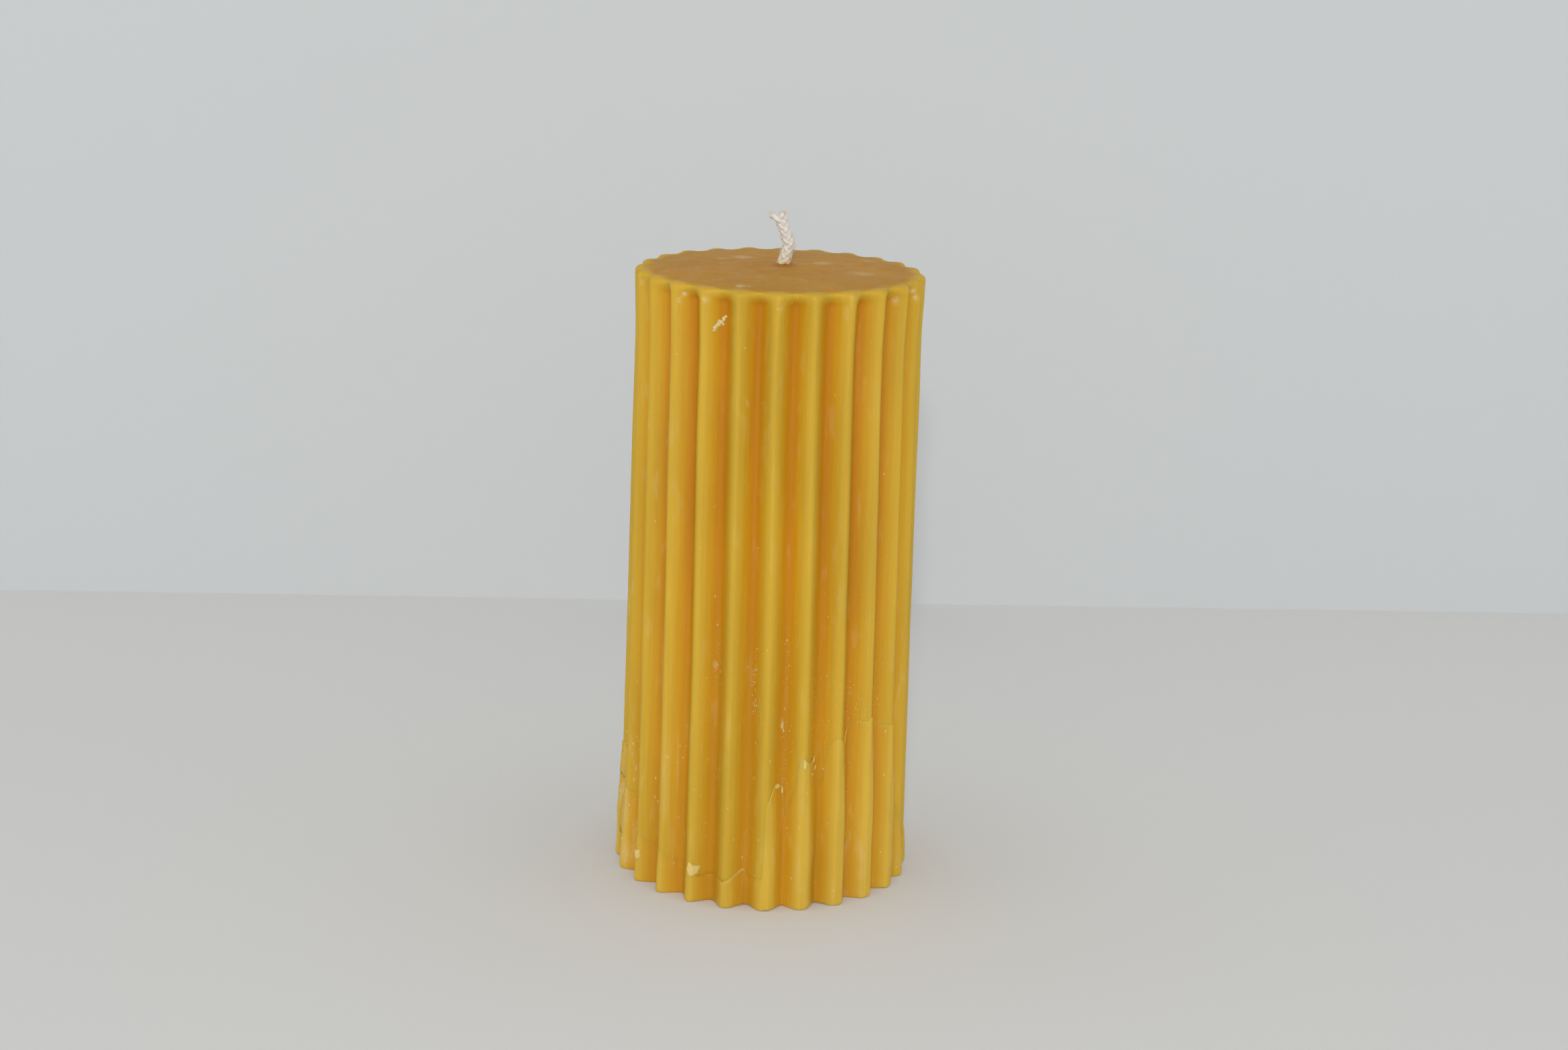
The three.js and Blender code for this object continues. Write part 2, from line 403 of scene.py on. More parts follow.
def stretch_place(tree, place, width, length):
    """Divides x and y by a width and z by a length, for a pattern that runs upright."""
    across, along = maths(tree, "DIVIDE", 1, width), maths(tree, "DIVIDE", 1, length)
    scale = add_node(tree, "ShaderNodeCombineXYZ", in0=across, in1=across, in2=along).outputs[0]
    settings = {"operation": "MULTIPLY"}
    return add_node(tree, "ShaderNodeVectorMath", settings, in0=place, in1=scale).outputs[0]


def make_clouds_group():
    """Soft clouds of a width and a length, from 0 to 1."""
    inputs = {"Place": "Vector", "Width": "Float", "Length": "Float", "Detail": "Float"}
    tree, given, result = new_group("clouds", inputs, {"Clouds": "Float"})
    place = stretch_place(tree, given["Place"], given["Width"], given["Length"])
    clouds = add_node(tree, "ShaderNodeTexNoise", Vector=place, Scale=1, Detail=given["Detail"])
    tree.links.new(ease_between(tree, clouds.outputs[0], 0.25, 0.75), result.inputs[0])
    return tree


def make_specks_group():
    """Specks in cells of a width and a length: how large they are, and the share of cells with one."""
    inputs = {"Place": "Vector", "Width": "Float", "Length": "Float", "Size": "Float", "Share": "Float"}
    tree, given, result = new_group("specks", inputs, {"Specks": "Float"})
    place = stretch_place(tree, given["Place"], given["Width"], given["Length"])
    wobble = add_node(tree, "ShaderNodeTexNoise", Vector=place, Scale=4, Detail=1).outputs[1]
    settings = {"operation": "MULTIPLY_ADD"}
    shift = add_node(tree, "ShaderNodeVectorMath", settings, in0=wobble, in1=(0.3, 0.3, 0.3), in2=place)
    cells = add_node(tree, "ShaderNodeTexVoronoi", Vector=shift.outputs[0], Scale=1)
    chance = add_node(tree, "ShaderNodeSeparateColor", Color=cells.outputs["Color"])
    size = maths(tree, "MULTIPLY", given["Size"], maths(tree, "ADD", chance.outputs[1], 0.5))
    inner = maths(tree, "MULTIPLY", size, 0.5)
    speck = ease_between(tree, cells.outputs["Distance"], inner, size, 1, 0)
    held = maths(tree, "LESS_THAN", chance.outputs[0], given["Share"])
    tree.links.new(maths(tree, "MULTIPLY", speck, held), result.inputs[0])
    return tree


def add_pattern(tree, group, place, width, length, **values):
    """One of the two patterns above, its width and length in millimetres."""
    sizes = {"Width": width * mm, "Length": length * mm}
    settings = {"node_tree": group}
    return add_node(tree, "ShaderNodeGroup", settings, Place=place, **sizes, **values).outputs[0]


clouds_group = make_clouds_group()
specks_group = make_specks_group()
bloom_colour = srgb(234, 216, 168)
dull_colour = srgb(180, 128, 50)
top_colours = srgb(184, 127, 24), srgb(189, 134, 34)
smudge_colour = srgb(196, 154, 96)
pool_and_wick_shadow_colour = srgb(168, 104, 24)
pit_colour = srgb(112, 74, 34)


def make_wax_group():
    """Colour, roughness and relief of fluted beeswax, from its place and its painted values."""
    inputs = {"Place": "Vector", "Wear": "Float", "Depth": "Float"}
    inputs |= {"Rib": "Color", "Flute": "Color", "Floor": "Color"}
    outputs = {"Color": "Color", "Roughness": "Float", "Relief": "Float"}
    tree, given, result = new_group("fluted_wax", inputs, outputs)
    place, wear = given["Place"], given["Wear"]
    split = add_node(tree, "ShaderNodeSeparateXYZ", Vector=place).outputs
    height = split[2]

    def clouds(width, length, detail=2):
        return add_pattern(tree, clouds_group, place, width, length, Detail=detail)

    def specks(width, length, size, share):
        return add_pattern(tree, specks_group, place, width, length, Size=size, Share=share)

    # Painted shade in the flutes: the rib colour on the crests, the flute colour on their walls and the
    # floor colour deepest in them. It fades out from 3 mm to 0.8 mm under the rim and is weaker towards
    # the foot.
    below_rim = ease_between(tree, height, rim_height - 3 * mm, rim_height - 0.8 * mm, 1, 0)
    in_flute = maths(tree, "MULTIPLY", given["Depth"], below_rim)
    radius = add_node(
        tree, "ShaderNodeVectorMath", {"operation": "LENGTH"},
        in0=add_node(tree, "ShaderNodeCombineXYZ", in0=split[0], in1=split[1]).outputs[0],
    ).outputs["Value"]
    on_top = ease_between(tree, height, rim_height - 1.2 * mm, rim_height + 0.1 * mm)
    within_rim = ease_between(tree, radius, disc_radius - 0.8 * mm, disc_radius + 1.4 * mm, 1, 0.2)
    on_side = maths(tree, "SUBTRACT", 1, on_top)

    low = ease_between(tree, height, 95 * mm, 25 * mm)
    floor_shade = ease_between(tree, in_flute, 0.55, 1.05)
    floor_shade = maths(tree, "MULTIPLY", floor_shade, maths(tree, "MULTIPLY_ADD", low, -0.45, 1))
    flute = mix_colours(tree, floor_shade, given["Flute"], given["Floor"])
    side = mix_colours(tree, ease_between(tree, in_flute, 0.05, 0.7), given["Rib"], flute)
    dull = maths(tree, "MULTIPLY", clouds(9, 30), maths(tree, "MULTIPLY", in_flute, low))
    side = mix_colours(tree, maths(tree, "MULTIPLY", dull, 0.15), side, dull_colour)
    top = mix_colours(tree, clouds(14, 14), *top_colours)
    smudge = maths(tree, "MULTIPLY", ease_between(tree, clouds(3.5, 3.5, 4), 0.7, 1), 0.3)
    top = mix_colours(tree, smudge, top, smudge_colour)
    # A darker orange patch just in front of the wick: partly clear wax without bloom, partly the wick's
    # painted shadow.
    from_wick = add_node(
        tree, "ShaderNodeVectorMath", {"operation": "DISTANCE"},
        in0=place, in1=(0.8 * mm, -0.6 * mm, rim_height + top_crown),
    ).outputs[1]
    soaked = ease_between(tree, from_wick, 1.6 * mm, 4.2 * mm, 0.8, 0)
    top = mix_colours(tree, soaked, top, pool_and_wick_shadow_colour)
    colour = mix_colours(tree, maths(tree, "MULTIPLY", on_top, within_rim), side, top)

    streaks = clouds(0.7, 26, 1)
    shade = maths(tree, "MULTIPLY_ADD", streaks, 0.06, 0.97)
    shade = maths(tree, "MULTIPLY", shade, maths(tree, "MULTIPLY_ADD", clouds(16, 50), 0.12, 0.94))
    colour = add_node(
        tree, "ShaderNodeMix", {"data_type": "RGBA", "blend_type": "MULTIPLY"},
        in0=1, in6=colour, in7=shade,
    ).outputs[2]

    drag = maths(tree, "MULTIPLY", clouds(1.2, 34, 1), clouds(7, 22))
    drag = ease_between(tree, maths(tree, "MULTIPLY", drag, low), 0.5, 0.95)
    bloom = maths(tree, "MULTIPLY", ease_between(tree, clouds(2.4, 9, 4), 0.7, 1), clouds(18, 26))
    crowd = maths(tree, "POWER", maths(tree, "MULTIPLY", clouds(6, 13), low), 2.2)
    crowd = maths(tree, "MULTIPLY_ADD", crowd, 0.22, 0.01)
    dust = maths(tree, "MAXIMUM", specks(0.7, 1.2, 0.24, crowd), specks(2.6, 3.8, 0.055, 0.16))
    pale = maths(tree, "ADD", maths(tree, "MULTIPLY", bloom, 0.13), maths(tree, "MULTIPLY", drag, 0.12))
    pale = maths(tree, "MULTIPLY", pale, on_side)
    pale = maths(tree, "MULTIPLY_ADD", dust, maths(tree, "MULTIPLY_ADD", on_side, 0.42, 0.1), pale)
    patchy = maths(tree, "MULTIPLY_ADD", clouds(0.5, 0.5, 3), 0.9, 0.25)
    worn = maths(tree, "MULTIPLY", maths(tree, "MAXIMUM", wear, 0), patchy)
    pale = maths(tree, "ADD", pale, worn, clamp=True)
    colour = mix_colours(tree, pale, colour, bloom_colour)
    dark = maths(tree, "MAXIMUM", maths(tree, "MULTIPLY", wear, -1), 0)
    pits = maths(tree, "MULTIPLY", specks(4.5, 4.5, 0.045, 0.5), maths(tree, "MULTIPLY", on_top, 0.6))
    dark = maths(tree, "MAXIMUM", maths(tree, "MULTIPLY", dark, patchy), pits, clamp=True)
    colour = mix_colours(tree, dark, colour, pit_colour)
    tree.links.new(colour, result.inputs["Color"])

    rough = maths(tree, "MULTIPLY_ADD", clouds(4, 12, 3), 0.14, 0.36)
    rough = maths(tree, "MULTIPLY_ADD", on_top, 0.14, rough)
    rough = maths(tree, "MULTIPLY_ADD", pale, 0.2, maths(tree, "MULTIPLY_ADD", in_flute, 0.08, rough))
    tree.links.new(rough, result.inputs["Roughness"])

    relief = maths(tree, "MULTIPLY", clouds(0.45, 18), 0.25)
    relief = maths(tree, "MULTIPLY_ADD", clouds(0.5, 0.7, 4), 0.28, relief)
    relief = maths(tree, "MULTIPLY_ADD", clouds(2.2, 5), 0.8, relief)
    relief = maths(tree, "MULTIPLY_ADD", dust, 0.5, relief)
    relief = maths(tree, "MULTIPLY_ADD", pits, -0.8, relief)
    tree.links.new(relief, result.inputs["Relief"])
    return tree


wax_group = make_wax_group()
wax_relief = 0.05 * mm
wax_glow_depth = 2.5 * mm


def beeswax_material(name, rib, flute, floor, glow=0.35):
    """Wax with a colour for its ribs, one for its flutes and one for the floors of the flutes, the
    deeper two for the painted shade in the flutes.
    """
    material = new_material(name)
    tree = material.node_tree
    place = add_node(tree, "ShaderNodeTexCoord").outputs["Object"]
    wear = add_node(tree, "ShaderNodeAttribute", {"attribute_name": "wear"}).outputs["Fac"]
    depth = add_node(tree, "ShaderNodeAttribute", {"attribute_name": "flute"}).outputs["Fac"]
    settings = {"node_tree": wax_group}
    colours = {"Rib": rib, "Flute": flute, "Floor": floor}
    wax = add_node(
        tree, "ShaderNodeGroup", settings, Place=place, Wear=wear, Depth=depth, **colours,
    ).outputs
    relief = add_node(tree, "ShaderNodeBump", Distance=wax_relief, Height=wax["Relief"]).outputs[0]
    shader = add_node(
        tree, "ShaderNodeBsdfPrincipled", {"subsurface_method": "RANDOM_WALK"},
        Base_Color=wax["Color"], Roughness=wax["Roughness"], Normal=relief, IOR=1.44,
        Specular_IOR_Level=0.25, Subsurface_Weight=glow, Subsurface_Scale=wax_glow_depth,
        Subsurface_Radius=(1.0, 0.5, 0.12),
    )
    add_node(tree, "ShaderNodeOutputMaterial", Surface=shader.outputs[0])
    return material


def finish_piece(piece, material, slot, *nodes):
    """Gives a finished piece its material, its body and the CAD nodes it stands for. The slot is not
    used.
    """
    piece.data.materials.clear()
    piece.data.materials.append(material)
    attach(piece, "root")
    if nodes:
        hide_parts(*nodes)


# The pillar's wax: its flute and floor colours are painted shade, deeper orange than its ribs.
beeswax = beeswax_material("beeswax", srgb(206, 168, 52), srgb(205, 154, 28), srgb(197, 130, 16))
finish_piece(pillar, beeswax, "beeswax", "wax_pillar")

# Foot, the second pour. It fills the hollow in the pillar and the last few millimetres of the
# mould, and it crept up between the pillar and the mould, where it set as thin ragged laps.
foot_facets = 12
foot_layer = 6 * mm
foot_chamfer = 0.3 * mm
worn_height = 2.5 * mm
lap_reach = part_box("foot_pour")[1].z
lap_rows = 34
lap_cover = 5 * mm
lap_turn = math.radians(2.2)
edge_share = 0.35

# The laps round the candle, each with its angle in degrees, its height and its thickness.
laps = [
    (-180, 15, 0.35), (-165, 22, 0.4), (-150, 9, 0.4), (-135, 12, 0.4), (-120, 21, 0.5),
    (-100, 28, 1.05), (-84, 28, 1.05), (-81, 20.5, 0.95), (-68, 19.5, 0.8), (-63, 11.6, 0.6),
    (-56, 11, 0.6), (-51, 8, 0.6), (-47, 11, 0.65), (-40, 9.5, 0.5), (-31, 9.2, 0.5),
    (-27, 6.1, 0.45), (-20, 7, 0.45), (-16, 6.2, 0.45), (-9, 8.5, 0.4), (-0.2, 8.7, 0.3),
    (0.7, 26, 0.3), (4.5, 29.4, 0.2), (8.5, 28.5, 0.2), (11, 34, 0.1), (15, 36.5, 0.1),
    (19, 34, 0.1), (24, 37, 0.1), (30, 40.2, 0.1), (35, 38, 0.1), (40, 43, 0.15), (48, 43, 0.3),
    (53, 38, 0.4), (58, 40, 0.5), (64, 40, 0.4), (70, 22, 0.4), (77, 9, 0.9), (96, 9, 0.9),
    (105, 13, 0.5), (120, 18, 0.4), (131, 16, 0.4), (150, 24, 0.4), (168, 19, 0.4), (180, 15, 0.35),
]


def lap_at(angle):
    """Height and thickness of the lap at an angle, eased from one entry of the list to the next."""
    degrees = math.degrees(angle)
    for (start, *low), (end, *high) in zip(laps, laps[1:]):
        if degrees <= end:
            share = ease(degrees, start, end)
            return [(a + (b - a) * share) * mm for a, b in zip(low, high)]


def ragged_lap(place):
    """The lap at a place, with the torn edge that the cooling wax left."""
    height, thickness = lap_at(angle_of(place))
    level = Vector((place.x, place.y, 0)).normalized() * crest_radius(0)
    tear = 0.9 * hump(level, 2.1 * mm, mm) + 0.5 * hump(level, 0.8 * mm, mm, 4)
    height += tear * mm * ease(height, foot_layer, foot_layer + 3 * mm)
    return max(height, wall_start + 0.7 * mm), thickness


def lap_gap(place, thickness, below_edge):
    """How far the lap stands out from the pillar. On the right of the candle the pillar had turned a
    little in the mould before the second pour, so there the lap widens each rib to the right: half
    of the turn shifts the rib, and half widens it on both sides. The lap is thinner at its edge."""
    angle = angle_of(place)
    degrees = math.degrees(angle)
    half_turn = lap_turn * ease(degrees, -25, 0) * ease(degrees, 175, 130) / 2
    phase = max(rib_phase(angle - half_turn) - half_turn * rib_count / math.tau, 0)
    gap = fluted_radius(phase, place.z) + thickness - fluted_radius(rib_phase(angle), place.z)
    return gap * (edge_share + (1 - edge_share) * ease(below_edge, -2 * mm, 22 * mm))


def pull_laps(piece):
    """Draws the wall down to the laps' torn edge and out over the pillar, and paints the skin of the
    thick laps and the torn edge as worn, and the depth of the flutes for their painted shade."""
    wear, depth = [], []
    for vertex in piece.data.vertices:
        place = vertex.co
        wear.append(0)
        depth.append(0)
        radius = place.xy.length
        if radius < well_mouth + 1 * mm:
            continue
        height, thickness = ragged_lap(place)
        surface = fluted_radius(rib_phase(angle_of(place)), place.z)
        outside = radius > surface - lap_cover / 2
        if place.z > foot_layer:
            share = (place.z - foot_layer) / (lap_reach - foot_layer)
            place.z = foot_layer + share * (height - foot_layer)
        below_edge = height - place.z
        if outside:
            rough = ease(thickness, 0.6 * mm, 1 * mm)
            gap = lap_gap(place, thickness, below_edge)
            gap += 0.12 * mm * hump(place, 2.2 * mm, 5 * mm, 6) * ease(gap, 0, 0.5 * mm)
            gap += rough * 0.1 * mm * hump(place, 0.8 * mm, 1.6 * mm, 8)
            # How deep the place lies in a flute, for the painted shade in the flutes.
            depth[-1] = (crest_radius(place.z) + thickness - surface - gap) / flute_depth
            place.xy *= (radius + gap * ease(place.z, -1.5 * mm, 0.8 * mm)) / radius
            edge = ease(below_edge, 0.9 * mm, 0.1 * mm)
            edge *= 0.25 + 0.5 * hump(place, 3 * mm, 3 * mm, 2)
            edge *= ease(gap, 0.1 * mm, 0.5 * mm)
            skin = rough * ease(hump(place, 2.2 * mm, 8 * mm, 7), -0.1, 0.6) * 0.45
            wear[-1] = max(edge, skin, 0)
    paint(piece, "wear", wear)
    paint(piece, "flute", depth)


def wear_bottom_edge(piece):
    """Lifts the foot's outer edge off the table here and there, as the poured wax left it."""
    for vertex in piece.data.vertices:
        place = vertex.co
        radius = place.xy.length
        if place.z < worn_height and radius > well_mouth:
            surface = fluted_radius(rib_phase(angle_of(place)), 0)
            outer = ease(radius, surface - 1.6 * mm, surface)
            lift = 0.6 * hump(place, 3.2 * mm, 9 * mm, 11) + 0.3 * hump(place, 1.1 * mm, 9 * mm, 12)
            lift -= 0.12
            place.z += outer * max(lift, 0) * mm * (1 - place.z / worn_height)
            shift = 0.2 * hump(place, 1.3 * mm, 2 * mm, 13) * ease(place.z, 1.5 * mm, 0.3 * mm)
            place.xy *= (radius + outer * shift * mm) / radius


foot = start_ring("foot_casting", foot_facets, 3 * mm, 0)
draw_ring(0, 8)
draw_fluted_ring(foot_facets, 0, 0, -2.2 * mm)
draw_fluted_ring(foot_facets, 0, 0, -foot_chamfer)
draw_fluted_ring(foot_facets, 0, foot_chamfer / 3, -foot_chamfer / 3)
height = foot_chamfer / 3
for next_height in (foot_chamfer, 1.3 * mm, 2.4 * mm, 4 * mm, foot_layer):
    draw_fluted_ring(foot_facets, height, next_height)
    height = next_height
draw_wall(foot_facets, foot_layer, lap_reach, lap_rows)
draw_fluted_ring(foot_facets, lap_reach, lap_reach, -lap_cover)
draw_fluted_ring(foot_facets, lap_reach, foot_layer, -lap_cover)
profile = well_profile()[::-1]
draw_ring(profile[0][1] - foot_layer, well_mouth / foot_radius)
shape_ring(foot_facets, lambda phase: well_mouth)
draw_profile(profile)
round_off(foot)
pull_laps(foot)
wear_bottom_edge(foot)
weather(foot)
# The laps' wax, its flutes painted deeper orange as painted shade, like the pillar's.
lap_wax = beeswax_material("lap_wax", srgb(211, 174, 62), srgb(206, 156, 32), srgb(197, 130, 18))
finish_piece(foot, lap_wax, "beeswax", "foot_pour")

# Flakes and crumbs. Chips of the same wax, torn off the laps or scraped off by the mould, that
# stick to the ribs and flutes, most of them on the lower right of the front.
side_angle = math.radians(65)


def surface_point(angle, height, out):
    """A point on the candle's outside, on its lap where one reaches so high, or a little off it. The
    rounding off of the cage has drawn the crests in a little and filled the flutes, so the radius is
    an average over the facets beside it."""
    facet = math.tau / rib_count / pillar_facets
    radii = [fluted_radius(rib_phase(angle + turn), height) for turn in (-facet, 0, facet)]
    radius = (radii[0] + 4 * radii[1] + radii[2]) / 6
    place = Vector((math.sin(angle) * radius, -math.cos(angle) * radius, height))
    lap_height, thickness = ragged_lap(place)
    if height < lap_height:
        radius += max(lap_gap(place, thickness, lap_height - height), 0)
    radius += unevenness(place) + out
    angle += twist(height)
    return Vector((math.sin(angle) * radius, -math.cos(angle) * radius, height))


def add_chip(angle, height, half_width, half_height, thickness, seed, level=3, lean=0):
    """A flattened ragged chip on the wall, bent over the rib or flute that it sticks to."""
    bpy.ops.object.select_all(action="DESELECT")
    bpy.ops.mesh.primitive_ico_sphere_add(subdivisions=level, radius=1)
    chip = bpy.context.object
    for vertex in chip.data.vertices:
        side, out, up = vertex.co
        outline = 1 + 0.5 * noise.noise(Vector((side * 1.3 + seed, up * 1.3, 0)))
        outline += 0.3 * noise.noise(Vector((side * 3.5, up * 3.5, seed)))
        side, up = side * half_width * outline, up * half_height * outline
        side, up = side + lean * up, up - lean * side
        at_angle = math.radians(angle) + side * mm / foot_radius
        out = (math.copysign(abs(out) ** 0.6, out) - 0.25) * thickness
        out *= 1 + 0.2 * noise.noise(Vector((side * 1.5, up * 1.5, seed + 3)))
        vertex.co = surface_point(at_angle, (height + up) * mm, out * mm)
    return chip


def join_chips(name, chips):
    bpy.ops.object.select_all(action="DESELECT")
    for chip in chips:
        chip.select_set(True)
    bpy.context.view_layer.objects.active = chips[0]
    bpy.ops.object.join()
    bpy.ops.object.shade_smooth()
    whole = bpy.context.object
    whole.name = whole.data.name = name
    return whole


flakes = [
    add_chip(-28.9, 7.7, 1.25, 1.5, 0.4, 1), add_chip(6.6, 42.6, 0.25, 0.9, 0.16, 2, lean=0.15),
    add_chip(7.2, 41.4, 0.2, 0.5, 0.16, 3), add_chip(15.4, 34.2, 0.45, 1.2, 0.3, 4),
    add_chip(20.6, 34.5, 0.3, 0.7, 0.25, 5), add_chip(21.6, 32.6, 0.28, 0.5, 0.25, 6),
    add_chip(19.6, 31.4, 0.25, 0.4, 0.25, 7), add_chip(5.2, 28.8, 0.6, 0.5, 0.3, 8),
    add_chip(7.4, 27.6, 0.3, 0.9, 0.25, 9), add_chip(-88.0, 23.5, 0.8, 4.2, 0.3, 10),
    add_chip(-86.0, 11.0, 1.0, 7.5, 0.3, 11), add_chip(86.0, 5.4, 1.2, 3.3, 0.4, 12),
    add_chip(79.0, 3.6, 1.1, 2.2, 0.4, 13), add_chip(-59.5, 6.6, 0.8, 1.2, 0.4, 14),
    add_chip(142.0, 20.0, 1.0, 2.4, 0.45, 15), add_chip(-141.0, 10.5, 1.3, 1.2, 0.5, 16),
    add_chip(172.0, 18.0, 0.7, 2.0, 0.45, 17),
]
flake = join_chips("wax_flakes", flakes)

# The flakes in front are torn thin and pale, and the large ones on the sides have the laps' colour.
on_sides = [float(abs(angle_of(vertex.co)) > side_angle) for vertex in flake.data.vertices]
paint(flake, "wear", [0.3 - 0.2 * on_side for on_side in on_sides])
paint(flake, "flute", on_sides)
flake_wax = beeswax_material(
    "flake_wax", srgb(228, 196, 98), srgb(220, 180, 74), srgb(210, 164, 50), glow=0.15,
)
finish_piece(flake, flake_wax, "beeswax")

# A row of crumbs under the rim: angle, height, half width and half height. Then the groups of
# grains: how many, angle, spread, lowest and highest place, and size.
rim_crumbs = [
    (-26.0, 131.2, 0.55, 0.5), (-25.2, 131.9, 0.5, 0.55), (-24.2, 132.3, 0.5, 0.5),
    (-23.4, 133.1, 0.45, 0.5), (-22.6, 133.6, 0.4, 0.35), (-24.9, 132.7, 0.3, 0.3),
    (-23.6, 131.9, 0.3, 0.35), (-26.3, 130.6, 0.3, 0.3),
]
grain_groups = [
    (60, -5.6, 0.8, 45, 61, 0.1), (50, -6, 1.6, 12, 78, 0.07), (70, 8, 1.4, 26, 68, 0.08),
    (40, 19.8, 0.9, 30, 54, 0.08), (24, 16.5, 1.8, 12, 40, 0.07), (50, 39, 2.4, 41, 52, 0.08),
    (50, 53.5, 1.8, 44, 58, 0.08), (40, 25, 4, 36, 76, 0.07), (26, -21.8, 1.3, 51, 61, 0.09),
    (14, 36, 3, 10, 45, 0.08), (16, -62, 7, 4, 40, 0.1), (36, -84, 6, 4, 30, 0.12),
    (16, 66, 6, 4, 50, 0.1), (34, 150, 24, 4, 60, 0.12), (34, -140, 24, 4, 60, 0.12),
]
random.seed(24)
chips = [add_chip(*crumb, 0.4, crumb[1] * 7, 2) for crumb in rim_crumbs]
for count, angle, spread, low, high, size in grain_groups:
    for _ in range(count):
        at_height = low + (high - low) * random.random() ** 1.3
        at_angle = random.gauss(angle, spread)
        half = size * random.uniform(0.4, 1.3)
        tall = half * random.uniform(0.8, 2.6)
        chips.append(add_chip(at_angle, at_height, half, tall, half * 0.9, random.uniform(0, 50), 1))
crumbs = join_chips("wax_crumbs", chips)
paint(crumbs, "wear", [0.95] * len(crumbs.data.vertices))
finish_piece(crumbs, flake_wax, "beeswax")

# Wick. Eight strands of cotton yarn in a round braid, cast in from the foot to the top. Its free
# end was bent aside and back, wax soaked into its root, and its cut end frayed open into two tufts.
strand_count = 8
strand_radius = 0.59 * mm
braid_radius = 0.75 * mm
braid_sway = 0.17 * mm
braid_pitch = 7 * mm
wick_exit = rim_height + top_crown
wick_bend = Vector((1.2, 0, 4.3)) * mm
wick_tip = Vector((-1.1, 0, 11.2)) * mm
wick_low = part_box("wick")[0].z
buried_steps = 240
knee_steps = 14
tip_steps = 26
frayed_length = 2.8 * mm
side_hairs = 520
end_hairs = 420
hair_radius = 0.026 * mm


def bezier(points, share):
    """A point on the smooth curve that its control points draw."""
    while len(points) > 1:
        points = [a.lerp(b, share) for a, b in zip(points, points[1:])]
    return points[0]


def wick_line():
    """The wick's centre line: straight up through the wax, aside in the first third and back."""
    root = wick_offset + Vector((0, 0, wick_exit))
    knee, tip = root + wick_bend, root + wick_tip
    line = []
    for step in range(buried_steps):
        height = wick_low + (wick_exit - wick_low) * step / buried_steps
        line.append(wick_offset + Vector((0, 0, height)))
    free = [root, root + Vector((0.5, 0, 1.6)) * mm, knee + Vector((-0.1, 0, -0.6)) * mm, knee]
    line += [bezier(free, step / knee_steps) for step in range(knee_steps)]
    free = [knee, knee + Vector((0.1, 0, 0.8)) * mm, tip - (wick_tip - wick_bend) * 0.4, tip]
    return line + [bezier(free, step / tip_steps) for step in range(tip_steps + 1)]


def strand_points(line, number):
    """One strand's route: it winds round the centre line, over one strand and under the next."""
    way = 1 if number % 2 else -1
    start = (number // 2) * math.tau / (strand_count // 2) + 0.3
    lengths = [0]
    for before, here in zip(line, line[1:]):
        lengths.append(lengths[-1] + (here - before).length)
    leaning = math.cos(start + way * math.tau * lengths[-1] / braid_pitch) < -0.3
    points = []
    for here, length in zip(line, lengths):
        turn = math.tau * length / braid_pitch
        angle = start + way * turn
        sway = way * braid_sway * math.cos(strand_count / 2 * turn)
        frayed = ease(length, lengths[-1] - frayed_length, lengths[-1])
        swollen = 1 + 0.2 * ease(here.z, wick_exit + 3.5 * mm, wick_exit) + 0.3 * frayed**2
        across = Vector((math.cos(angle), math.sin(angle), 0)) * (braid_radius * swollen + sway)
        aside = hump(here, 1.7 * mm, 1.7 * mm, number)
        slack = Vector((aside, hump(here, 1.5 * mm, 1.5 * mm, -number), 0))
        lean = Vector((-0.75, 0, -0.15) if leaning else (0.3, 0, 0.3 * math.sin(number * 2.4)))
        points.append(here + across + (slack * 0.07 + lean * frayed**2) * mm)
    return points


def add_yarn(name, routes, radius, sides):
    """Round yarn along routes of places, each place with its share of the full thickness."""
    curve = bpy.data.curves.new(name, "CURVE")
    curve.dimensions = "3D"
    curve.bevel_depth = radius
    curve.bevel_resolution = sides
    curve.use_fill_caps = True
    for route in routes:
        spline = curve.splines.new("POLY")
        spline.points.add(len(route) - 1)
        for point, (place, thickness) in zip(spline.points, route):
            point.co = (*place, 1)
            point.radius = thickness
    yarn = bpy.data.objects.new(name, curve)
    bpy.context.collection.objects.link(yarn)
    return yarn


def loose_fibre(root, along, outwards, length):
    """A hair that leaves the yarn along it and curls outwards and round."""
    curl = Vector([random.uniform(-1, 1) for _ in range(3)])
    route = []
    for step in range(6):
        share = step / 5
        reach = along * share + outwards * share**2 * 0.8 + curl * share**2 * 0.7
        route.append((root + reach * length, 1 - 0.6 * share))
    return route


def fuzz(line, strands):
    """Loose hairs all along the free end, and more of them where it is cut."""
    random.seed(12)
    hairs = []
    free = [index for index, place in enumerate(line) if place.z > wick_exit + 0.8 * mm]
    for _ in range(side_hairs):
        index = random.choice(free[:-1])
        strand = random.choice(strands)
        along = (strand[index + 1] - strand[index]).normalized() * random.choice((-1, 1))
        outwards = (strand[index] - line[index]).normalized()
        root = strand[index] + outwards * strand_radius * 0.8
        hairs.append(loose_fibre(root, along, outwards, random.uniform(0.25, 0.7) * mm))
    for _ in range(end_hairs):
        strand = random.choice(strands)
        along = (strand[-1] - strand[-4]).normalized()
        aside = Vector([random.uniform(-1, 1) for _ in range(3)])
        root = strand[-1] + aside * strand_radius * 0.6 - along * 0.3 * mm
        hairs.append(loose_fibre(root, along, aside, random.uniform(0.3, 0.8) * mm))
    return hairs


